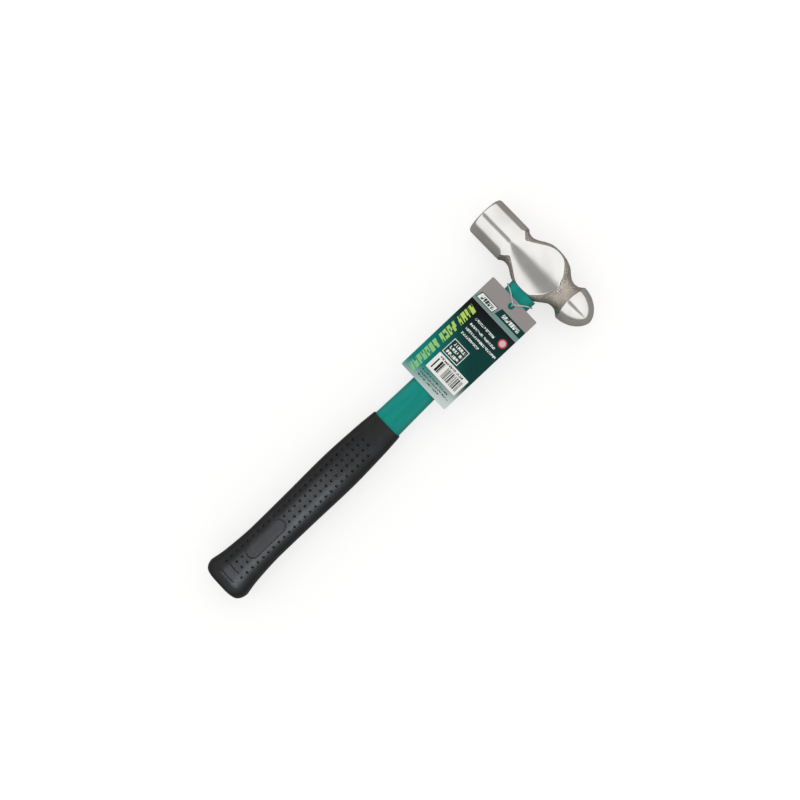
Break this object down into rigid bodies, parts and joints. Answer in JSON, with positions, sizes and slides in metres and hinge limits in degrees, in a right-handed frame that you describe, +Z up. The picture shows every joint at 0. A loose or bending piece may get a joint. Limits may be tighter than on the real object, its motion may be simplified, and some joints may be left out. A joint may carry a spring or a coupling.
{
  "type": "ball peen hammer",
  "caption": "Hand hammer with a round striking face and a domed peen on a forged head, a jacketed fibreglass handle, a rubber grip and a string-tied hang tag.",
  "frame": {"origin": "middle of the bottom of the whole hammer's box, as it lies on its side", "axes": "+Z up; the handle runs along Y with the head at the +Y end; the head runs along X with the striking face towards -X and the ball towards +X"},
  "size_m": [0.1052, 0.33, 0.0302],
  "materials": {
    "forged_steel": "ground and polished on the face, poll, cheeks and ball, grey as-forged scale between",
    "epoxy": "cast, satin",
    "fibreglass": "sawn end of pultruded glass fibre",
    "teal_jacket": "moulded, semi-gloss",
    "black_rubber": "moulded, satin",
    "printed_card": "printed and gloss laminated card",
    "clear_nylon": "translucent twisted nylon thread"
  },
  "bodies": {
    "hammer": {"hammer_head": "forged_steel", "eye_bond": "epoxy", "fibreglass_core": "fibreglass", "shaft_jacket": "teal_jacket", "rubber_grip": "black_rubber"},
    "string": {"string_loop": "clear_nylon"},
    "tag_tie": {"string_front": "clear_nylon"},
    "tag": {"hang_tag": "printed_card"}
  },
  "joints": [
    {"name": "string_slide", "type": "slide", "parent": "hammer", "child": "string", "axis": [0, 1, 0], "range_m": [-0.033, 0.0025]},
    {"name": "tag_lift", "type": "hinge", "parent": "string", "child": "tag_tie", "pos_m": [0.0059, 0.1222, 0.0261], "axis": [-1, 0, 0], "range_deg": [0, 150]},
    {"name": "tag_swing", "type": "hinge", "parent": "tag_tie", "child": "tag", "pos_m": [0.008, 0.11563, 0.0261], "axis": [0, -0.0103, 0.9999], "range_deg": [-12, 12]}
  ]
}
